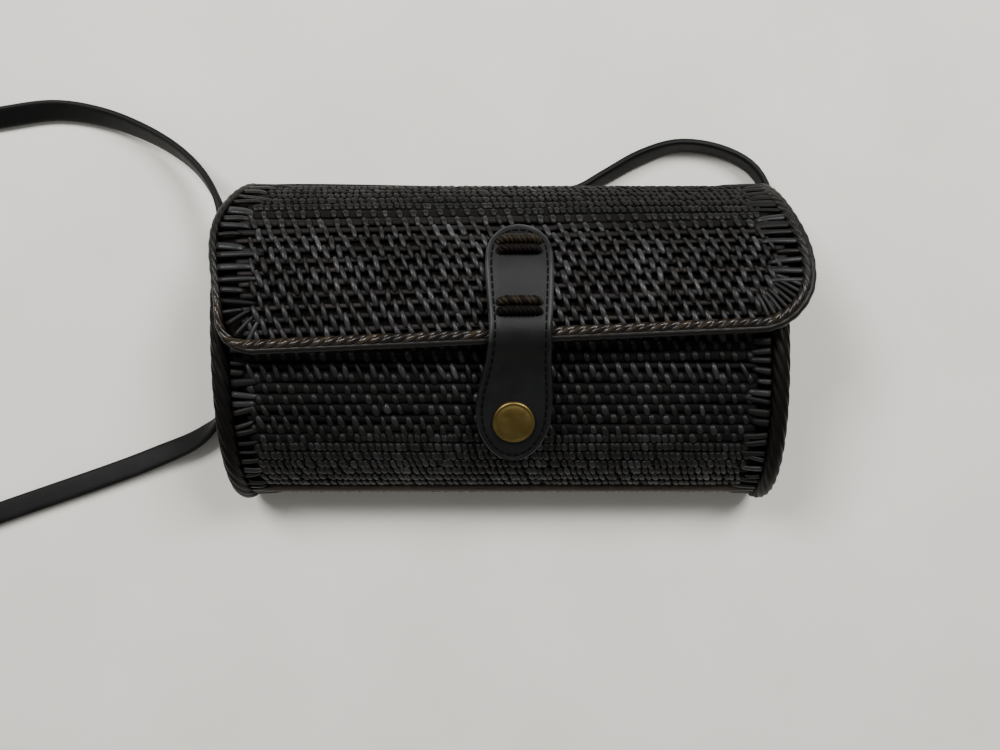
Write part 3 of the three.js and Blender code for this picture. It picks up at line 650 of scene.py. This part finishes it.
def rope(path, normals, radius, strands, lay, groove, shade, ring=False, drop=0.0, shift=0.0):
    """Wound rim: a lobed round section, one lobe a strand, that turns once in each lay along its path."""
    centres, normals = path[None], normals[None]
    across, up = frames(centres, normals, ring)
    centres = centres + np.reshape(shift, (1, -1, 1)) * across + np.reshape(drop, (1, -1, 1)) * up
    per_strand = 7
    sides = strands * per_strand + strands * per_strand % 2
    share = np.arange(sides) / sides
    lobe = np.abs(np.sin(np.pi * strands * share)) ** 0.75
    run = lengths(path)
    turns = run / lay if not ring else run * np.round(run[-1] / lay) / run[-1]
    angle = 2 * np.pi * (share + turns[:, None])
    size = np.reshape(radius, (-1, 1)) * (1 - groove * (1 - lobe))
    shades = chance.random((strands, int(run[-1] / STRAND_LENGTH) + 2))
    which = (share * strands).astype(int) % strands
    piece = (run[:, None] / STRAND_LENGTH + which / strands).astype(int)
    # Each strand's own tone, its ridge paler and the grooves between strands darker: rubbed ridges and
    # painted shade
    tone = shade + 0.45 * (shades[which, piece] - 0.5) + 0.25 * (lobe - 0.5)
    section = (size * np.cos(angle))[None], (size * np.sin(angle))[None]
    return tubes(centres, across, up, section, tone[None], ring)


rim_turns = np.concatenate([np.linspace(-90, 0, 40), np.linspace(0.5, 179.5, 240), np.linspace(180, 270, 40)])
for name, side in (("left", -1), ("right", 1)):
    rim = profile(rim_turns, -RIM_SIZE / 2)
    x = side * (HALF_LENGTH - RIM_SIZE / 2) - END_LEAN * rim[:, 0]
    path = evenly(np.column_stack([x, rim[:, :2], 0 * x, rim[:, 2:]]), 1.5)
    skin = rope(path[:, :3], path[:, 3:], radius=RIM_SIZE / 2 + 0.1, strands=7, lay=40.0, groove=0.13,
                shade=0.08, ring=True)
    add_piece(f"end_rim_braid_{name}", skin, wound_grass, "rim_straw", f"end_rim_{name}")


# Ends: D-shaped woven panels, their rows along Y and the first one this high over the back
PANEL_FIRST_ROW = 9.0


def end_sheet(side):
    """Point of an end panel's face: place along Y, row from the back, height out of the face."""
    def on_panel(along, row, height):
        x = side * (PANEL_FACE - 0.1 + height)
        y = -side * along
        return np.stack([x - END_LEAN * y, y, PANEL_FIRST_ROW + BODY_PITCH * row], axis=-1)
    return on_panel


panel_outline = profile(rim_turns, -RIM_SIZE - GAP)
panel_rows = int((panel_outline[:, 1].max() - PANEL_FIRST_ROW) / BODY_PITCH + 0.7)
heights = PANEL_FIRST_ROW + BODY_PITCH * np.arange(panel_rows)
front = panel_outline[(rim_turns > -60) & (rim_turns < 240)]
base, top = front[front[:, 0] < 0], front[front[:, 0] >= 0]
y_low = np.interp(heights, base[:, 1], base[:, 0])
y_high = np.interp(heights, top[::-1, 1], top[::-1, 0])
for name, side in (("left", -1), ("right", 1)):
    low, high = (y_low, y_high) if side < 0 else (-y_high, -y_low)
    rods, *stitches = weave(end_sheet(side), low + 0.8, high - 0.8, lambda x, row: 0.1 + 0 * x, BODY_SHADES,
                            rod_shades=(0.1, 0.2), margin=0.0)
    add_piece(f"end_panel_stitches_{name}", joined(*stitches), woven_grass, "woven_straw",
              f"end_panel_{name}")
    add_piece(f"end_panel_rods_{name}", rods, rod_grass, "woven_straw")
    lining = side * np.array([PANEL_FACE - PANEL_WALL, PANEL_FACE - PANEL_LINING])[::side]
    skin = carried(panel_outline[::4, :2], *lining)
    add_piece(f"end_panel_lining_{name}", skin, lining_painted_shade, "woven_straw")


# Lid: a bent sheet from its hinge over the top and down the front
LID_ROWS = 21
lid_turns = np.linspace(180, 60, 400)
lid_section = profile(lid_turns, lid_gap(lid_turns) + WALL)
lid_run = lengths(lid_section[:, :2])


def lid_swell(p, q):
    """How much wider each half of the lid is at a distance q off its lower edge: a bell over q."""
    return 1 + LID_SWELL / LID_HALF * np.exp(-((q - np.where(p < 0, *LID_SWELL_AT)) / LID_SWELL_SPAN) ** 2)


def lid_plan(p, q):
    """Place in the bag's X and Y of a point of the lid's own plan, p along its lower edge and q off it."""
    cos, sin = np.cos(LID_TURN), np.sin(LID_TURN)
    p = p * lid_swell(p, q)
    return LID_MIDDLE + p * cos - q * sin, LID_LOWER + p * sin + q * cos


def lid_unplan(x, y):
    """The lid's own p and q of a place in X and Y."""
    cos, sin = np.cos(LID_TURN), np.sin(LID_TURN)
    p, q = (x - LID_MIDDLE) * cos + (y - LID_LOWER) * sin, (y - LID_LOWER) * cos - (x - LID_MIDDLE) * sin
    return p / lid_swell(p, q), q


def lid_edge(side, drift, q, inset):
    """The lid's own p of one side at a distance q from the lower edge, drawn in by an inset across it."""
    moved, draw = drift
    rear = np.clip((q - LID_REAR_START) / LID_REAR_SPAN, 0, None)
    across = inset * np.hypot(1, 2 * draw * rear / LID_REAR_SPAN)
    drifted = moved * np.clip((q - LID_DRIFT_START) / LID_DRIFT_SPAN, 0, None) ** 2
    return side * (LID_HALF - across - draw * rear**2) + drifted


def on_lid(x, row, height):
    """Point of the lid's face along X, at a row from the hinge, with even rows down to the lower edge."""
    edge_y = LID_LOWER + (LID_RIM - 0.6) / np.cos(LID_TURN) + np.tan(LID_TURN) * (x - LID_MIDDLE)
    whole = np.interp(-edge_y, -lid_section[:, 0], lid_run)
    at = along_section(lid_section, whole * (row + 0.4) / LID_ROWS)
    # Under the tab the strands are pressed in.
    pressed = ease(np.abs(x - 6.5), 14.5, 11.5) * ease(at[..., 0], 44, 38)
    return lifted(x, at, height + 0.35 - 0.75 * pressed)


def on_lid_plan(x, y, height):
    """Point of the lid's face over a place in X and Y."""
    return lifted(x, along_section(lid_section, np.interp(-y, -lid_section[:, 0], lid_run)), height)


def lid_side_x(side, drift, inset, count, y_at):
    """X of one side of the lid at the Ys that y_at(x) gives, found by moving it onto the side's line."""
    x = np.full(count, LID_MIDDLE + side * (LID_HALF - inset))
    for _ in range(4):
        p, q = lid_unplan(x, y_at(x))
        x = x + lid_edge(side, drift, q, inset) - p
    return x


def row_end(side, drift, rows, inset):
    """X of one side of the lid at each row."""
    return lid_side_x(side, drift, inset, len(rows), lambda x: on_lid(x, rows, 0.0)[:, 1])


def inside_lid(x, row, inset, margin):
    """True where a place of the lid is an inset off its lower edge, and a margin more off its sides."""
    p, q = lid_unplan(x, on_lid(x, row, 0.0)[..., 1])
    inside = q > inset
    for side, corner, drift in LID_SIDES.values():
        beyond_p, beyond_q = side * p - (LID_HALF - corner), corner - q
        inside &= side * (p - lid_edge(side, drift, q, inset + margin)) < 0
        rounded = np.hypot(beyond_p, beyond_q) < corner - inset - margin / 3
        inside &= (beyond_p < 0) | (beyond_q < 0) | rounded
    return inside


def lid_openness(x, row):
    """Open over the front, closing over the bend and dense towards the hinge, sooner right of the tab."""
    y, right = on_lid(x, row, 0.0)[..., 1], ease(x, 0, 30)
    return 2 * ease(y, 60 - 10 * right, 33 + 2.5 * right) * (0.96 + 0.06 * np.sin(1.9 * row + x / 37)) - 1


# Stitch tones where dense, tight and open: the dense top towards the hinge is painted near black as shade,
# and the open front's pale grey, like its paler rods, is partly painted highlight
LID_SHADES = 0.0, 0.38, 0.62
rows = np.arange(LID_ROWS, dtype=float)
sides = {name: row_end(side, drift, rows, LID_RIM - 2.1) for name, (side, _, drift) in LID_SIDES.items()}
rods, *stitches = weave(on_lid, sides["left"], sides["right"], lid_openness, LID_SHADES,
                        rod_shades=(0.2, 0.72), margin=6.0,
                        kept=lambda x, row: inside_lid(x, row + 0.5, LID_RIM - 1.4, 8.0))
bound = []
for name, (side, corner, drift) in LID_SIDES.items():
    inner = lid_unplan(sides[name], on_lid(sides[name], rows + 0.5, 0.0)[:, 1])[1] > 0.75 * corner
    bound.append(edge_strands(on_lid, sides[name][inner], -side, rows[inner], 11.5, lid_openness, LID_SHADES))
    # Round the lower corner the strands turn from along the rows to across the lower edge.
    tight = corner < 15
    turn = np.radians(np.linspace(14, 78, 3 if tight else 8))[:, None]
    t = np.linspace(0, 1, 7)
    radius = corner - LID_RIM + 1.2
    p, q = side * (LID_HALF - corner + radius * np.cos(turn)), corner - radius * np.sin(turn)
    aim = unit(np.concatenate([side * (LID_HALF - corner - 7) - p, corner + 7 - q], axis=-1))
    reach = 10.0 if tight else 11.0
    x, y = lid_plan(p + reach * t * aim[..., :1], q + reach * t * aim[..., 1:])
    tone = np.clip(0.4 + chance.normal(0, 0.15, (len(turn), 1, 1)), 0, 1)
    height, width = 0.9 - 0.5 * t - 1.2 * t**6, 1.8 - 0.4 * t + 0 * x
    bound.append(strands(on_lid_plan, x, y, height, width, 1.0, 6, tone))
add_piece("lid_stitches", joined(*stitches, *bound), woven_grass, "woven_straw", "lid")
add_piece("lid_rods", rods, rod_grass, "woven_straw")

# The lid's plain inner face, cut to the same outline: a closed grid of rows and places along X
x_share = np.linspace(0, 1, 60)
lining_rows = np.linspace(-0.3, LID_ROWS - 0.6, 70)
lining_inset = LID_RIM - 3.2
lining_sides = [row_end(side, drift, lining_rows, lining_inset) for side, _, drift in LID_SIDES.values()]
for number, (side, corner, _) in enumerate(LID_SIDES.values()):
    p, q = lid_unplan(lining_sides[number], on_lid(lining_sides[number], lining_rows, 0.0)[:, 1])
    reach = corner - lining_inset
    drawn = reach - np.sqrt(np.clip(reach**2 - np.clip(corner - q, 0, reach) ** 2, 0, None))
    lining_sides[number] = lining_sides[number] - side * drawn
x = lining_sides[0][:, None] + (lining_sides[1] - lining_sides[0])[:, None] * x_share
grid = [on_lid(x, lining_rows[:, None] + 0 * x, height + 0 * x) for height in (-LID_LINING, -WALL - 0.3)]
ring = np.concatenate([grid[0], grid[1][:, ::-1]], axis=1)
points = ring.reshape(-1, 3)
quads = faces(np.arange(len(points)).reshape(1, *ring.shape[:2]))
skin = points, quads, points[:, :2], np.full(len(points), LINING_TONE)
add_piece("lid_lining", skin, lining_painted_shade, "woven_straw")


# Lid's rim: a wound rope on a smooth band, down one side, along the lower edge and up the other
def lid_rim_path():
    """Middle of the rim and its normals: sides by turn, corners and lower edge by the lid's plan."""
    middle = profile(lid_turns, lid_gap(lid_turns) + LID_RIM / 2)
    inset = LID_RIM / 2
    legs = []
    for side, corner, drift in LID_SIDES.values():
        angle = np.radians(np.linspace(0, 90, 40))
        p = side * (LID_HALF - corner + (corner - inset) * np.cos(angle))
        x, y = lid_plan(p, corner - (corner - inset) * np.sin(angle))
        bend = np.column_stack([x] + [np.interp(-y, -middle[:, 0], column) for column in middle.T])
        line = middle[middle[:, 0] > y[0] + 0.3]
        x = lid_side_x(side, drift, inset, len(line), lambda _: line[:, 0])
        legs.append(np.vstack([np.column_stack([x, line]), bend]))
    whole = np.vstack([legs[0], legs[1][::-1]])
    return np.column_stack([whole[:, :3], 0 * whole[:, 0], whole[:, 3:]])


rim = evenly(lid_rim_path(), 1.2)
normals = unit(rim[:, 3:])
# The rope is thinner on the left side, where it lies on the very edge.
left = ease(rim[:, 0], -86, -96)
rear = ease(rim[:, 1], 44, 58)
# Away from the lower edge, up the lid's sides, the rope and its band are darker.
away_from_lower_edge = ease(rim[:, 1], 8, 22)[:, None]
braid = rope(rim[:, :3], normals, radius=1.9 - 0.5 * left, strands=4, lay=16.0, groove=0.26,
             shade=0.62 - 0.4 * away_from_lower_edge, drop=0.85 - 1.3 * rear, shift=1.9 * left - 0.85)
add_piece("lid_rim_braid", braid, rim_grass, "rim_straw", "lid_rim")
across, up = frames(rim[None, :, :3], normals[None])
around = 2 * np.pi * (np.arange(16) + 0.5) / 16
ripple = 1 + 0.04 * np.sin(2 * np.pi * lengths(rim[:, :3]) / 4.9)[None, :, None]
section = (ripple * (1.2 + 1.55 * np.cos(around)),
           ripple * (-0.45 + 2.2 * squared(np.sin(around), 0.8)))
band = tubes(rim[None, :, :3], across, up, section, 0.25 - 0.2 * away_from_lower_edge)
add_piece("lid_rim_band", band, rim_grass, "rim_straw")

# Hinge: a plain band behind the lid's rear edge. Its turns run the other way than the body's, so its two
# lines change places.
hinge_turns = np.linspace(HINGE_FROM, HINGE_TO, 40)
hinge_outer, hinge_inner = profile(hinge_turns, GAP)[:, :2], profile(hinge_turns, GAP - HINGE_WALL)[:, :2]
add_piece("hinge_band_woven", wall(hinge_inner, hinge_outer), rod_grass, "woven_straw", "hinge_band")


# Tab: a strip of hide over the lid and its rim down to the snap
lid_tab = profile(TAB_TURNS, lid_gap(TAB_TURNS) + WALL + GAP)[:, :2]
rim_top = BACK_CORNER + RISE + lid_gap(90.0) + LID_RIM + GAP
tab_line = np.vstack([lid_tab, np.column_stack([TAB_RIM_YS, 0 * TAB_RIM_YS + rim_top]), TAB_HANG])
tab_under = spline(tab_line, np.linspace(0, len(tab_line) - 1, 600))
slope = unit(np.gradient(tab_under, axis=0))
tab_section = np.column_stack([tab_under, slope[:, 1], -slope[:, 0]])


def on_tab(x, y, height):
    """Point over a place in X and Y of the tab, at a height over its underside along the tab's normal."""
    middle = tab_section[:, 0] + TAB_WALL / 2 * tab_section[:, 2]
    at = np.stack([np.interp(-y, -middle, column) for column in tab_section.T], axis=-1)
    return lifted(x, at, height)


mirrored = TAB_OUTLINE * [1, 1, -1]
tab_rows = np.vstack([mirrored[1], TAB_OUTLINE, mirrored[-2]])
outline = spline(tab_rows, 1 + np.linspace(0, len(TAB_OUTLINE) - 1, 145))
y, middle, half = outline.T
half = np.clip(half, 0.02, None)
# Section across the tab: flat faces between rounded edges, with a groove along the seam
quarter = np.radians(np.linspace(-90, 90, 7))
flat = np.linspace(1, -1, 23)[1:-1]
under = np.linspace(-1, 1, 9)[1:-1]
spread = np.concatenate([np.ones(7), flat, -np.ones(7), under])
edge_out = np.concatenate([np.cos(quarter), 0 * flat, -np.cos(quarter), 0 * under])
rise = np.concatenate([np.sin(quarter), 0 * flat + 1, np.sin(quarter)[::-1], 0 * under - 1])
rounding = np.minimum(TAB_ROUNDING, half)[:, None]
a = spread * (half[:, None] - rounding) + edge_out * rounding
slant = np.sqrt(1 + np.gradient(half, y) ** 2)[:, None]
inset = (half[:, None] - np.abs(a)) / slant
crown = 0.25 * ease(inset, 0.0, 1.2) * ease(inset, 3.4, 2.4)
crown = crown - 0.25 * np.exp(-((inset - SEAM_INSET) / 0.35) ** 2)
b = TAB_WALL / 2 * rise + np.where(rise > 0.9, crown * ease(half[:, None], 1.5, 4), 0)
centres = on_tab(middle, y, np.full(len(y), TAB_WALL / 2))[None]
up = unit(on_tab(middle, y, np.full(len(y), TAB_WALL)) - on_tab(middle, y, 0 * y))[None]
across = np.broadcast_to([-1.0, 0.0, 0.0], centres.shape)
# Tone painted on the tab: paler edges, partly rubbed and partly a painted highlight that is strongest over
# the lid and weaker where the tab hangs, and painted shade in the seam's groove
edge_highlight_and_seam_shade = (0.1 + 0.3 * ease(y, -12, 4))[:, None] * ease(inset, 1.7, 0.9)
edge_highlight_and_seam_shade = edge_highlight_and_seam_shade - 0.6 * np.exp(-((inset - SEAM_INSET) / 0.4) ** 2)
add_piece("tab_leather", tubes(centres, across, up, (a[None], b[None]), edge_highlight_and_seam_shade[None]),
          tab_leather, "tab_leather", "tab")

# Seam: stitches inside the tab's edge
loop = np.vstack([np.column_stack([middle + half, y]), np.column_stack([middle - half, y])[-2:0:-1]])
tangent = unit(np.roll(loop, -1, axis=0) - np.roll(loop, 1, axis=0))
line = loop + SEAM_INSET * np.column_stack([tangent[:, 1], -tangent[:, 0]])
line = np.vstack([line, line[:1]])
seam = evenly(np.column_stack([line, np.zeros(len(line))]), SEAM_PITCH)[:-1, :2]
along = np.roll(seam, -1, axis=0) - seam
t = np.linspace(0.14, 0.86, 5)
sewn = seam[:, None] + along[:, None] * t[:, None]
height = TAB_WALL + 0.02 - 0.45 * (2 * t - 1) ** 4 + 0 * sewn[..., 0]
width = np.full(height.shape, SEAM_THREAD)
skin = strands(on_tab, sewn[..., 0], sewn[..., 1], height, width, width, 6, 0.5)
add_piece("tab_seam", skin, thread, "tab_leather")

# Lashings: twisted cords across the tab that go down through it at both ends
for name, lash_y in LASH_YS.items():
    x = np.linspace(-LASH_LENGTH / 2 + 1.2, LASH_LENGTH / 2 - 1.2, 60)
    drop = 2.6 * ease(np.abs(x), LASH_LENGTH / 2 - 3.6, LASH_LENGTH / 2 - 0.2)
    centres = on_tab(LASH_X + x, lash_y + 0 * x, TAB_WALL + LASH_RADIUS + 0.15 - drop)
    normals = unit(on_tab(LASH_X + x, lash_y + 0 * x, 10 + 0 * x) - on_tab(LASH_X + x, lash_y + 0 * x, 0 * x))
    # The upper cord of each pair is painted paler, as lit, and the lower one darker, as in shade
    shade = 0.6 if name.endswith("upper") else 0.15
    skin = rope(centres, normals, LASH_RADIUS, strands=3, lay=-4.6, groove=0.3, shade=shade)
    add_piece(f"lashing_cord_{name}", skin, lash_fibre, "lashing_cord", f"lashing_{name}")

# Snap: a shallow pressed dome with a rolled edge, by radius and height
dome = np.array([
    (0.02, 2.3), (1.5, 2.27), (3, 2.16), (4.4, 1.98), (5.4, 1.76), (6.0, 1.58), (6.3, 1.52), (6.6, 1.56),
    (6.95, 1.55), (7.25, 1.35), (7.45, 1.0), (7.5, 0.65), (7.4, 0.3), (7.15, 0.08), (6.8, 0.0), (0.02, 0.0),
])
dome = spline(dome, np.linspace(0, len(dome) - 1, 61))
seat = on_tab(np.array([SNAP_X]), np.array([SNAP_Y]), np.array([TAB_WALL]))[0]
normal = unit(on_tab(np.array([SNAP_X]), np.array([SNAP_Y]), np.array([TAB_WALL + 1]))[0] - seat)
centres = (seat + dome[::-1, 1:] * normal)[None]
across = np.broadcast_to([1.0, 0.0, 0.0], centres.shape)
up = np.broadcast_to(-np.cross(normal, [1.0, 0.0, 0.0]), centres.shape)
SNAP_SIDES = 72
around = 2 * np.pi * np.arange(SNAP_SIDES) / SNAP_SIDES
section = (dome[::-1, :1] * np.cos(around))[None], (dome[::-1, :1] * np.sin(around))[None]
add_piece("snap_dome", tubes(centres, across, up, section, 0.5), brass, "brass", "snap_cap")

for name in ("snap_stud", "strap_rivet_left", "strap_rivet_right"):
    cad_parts[name].data.materials.clear()
    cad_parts[name].data.materials.append(brass)

# Pale floor and two soft lights above the bag's top corners, with a weak fill from all round. In metres
FLOOR_HALF = 3
LAMP_WATTS, LAMP_SIZE, LAMP_Y, LAMP_Z = 12.5, 0.42, 0.52, 0.92
LAMP_AIM = np.array([0.0, 0.0, 0.03])
floor_mesh = bpy.data.meshes.new("floor")
corners = [(FLOOR_HALF * x, FLOOR_HALF * y, 0) for x, y in ((-1, -1), (1, -1), (1, 1), (-1, 1))]
floor_mesh.from_pydata(corners, [], [(0, 1, 2, 3)])
floor_mesh.materials.append(backdrop)
floor = bpy.data.objects.new("floor", floor_mesh)
collection.objects.link(floor)
for name, x in (("lamp_left", -0.52), ("lamp_right", 0.5)):
    lamp = bpy.data.objects.new(name, bpy.data.lights.new(name, "AREA"))
    lamp.data.energy = LAMP_WATTS
    lamp.data.size = LAMP_SIZE
    lamp.location = (x, LAMP_Y, LAMP_Z)
    aim = LAMP_AIM - np.array(lamp.location)
    tilt = np.arctan2(np.hypot(aim[0], aim[1]), -aim[2])
    lamp.rotation_euler = (tilt, 0, np.arctan2(aim[1], aim[0]) - np.pi / 2)
    collection.objects.link(lamp)
world = bpy.data.worlds.new("studio")
world.use_nodes = True
world.node_tree.nodes["Background"].inputs["Color"].default_value = linear("#f2f1ef")
world.node_tree.nodes["Background"].inputs["Strength"].default_value = 0.3
bpy.context.scene.world = world

bpy.context.view_layer.update()
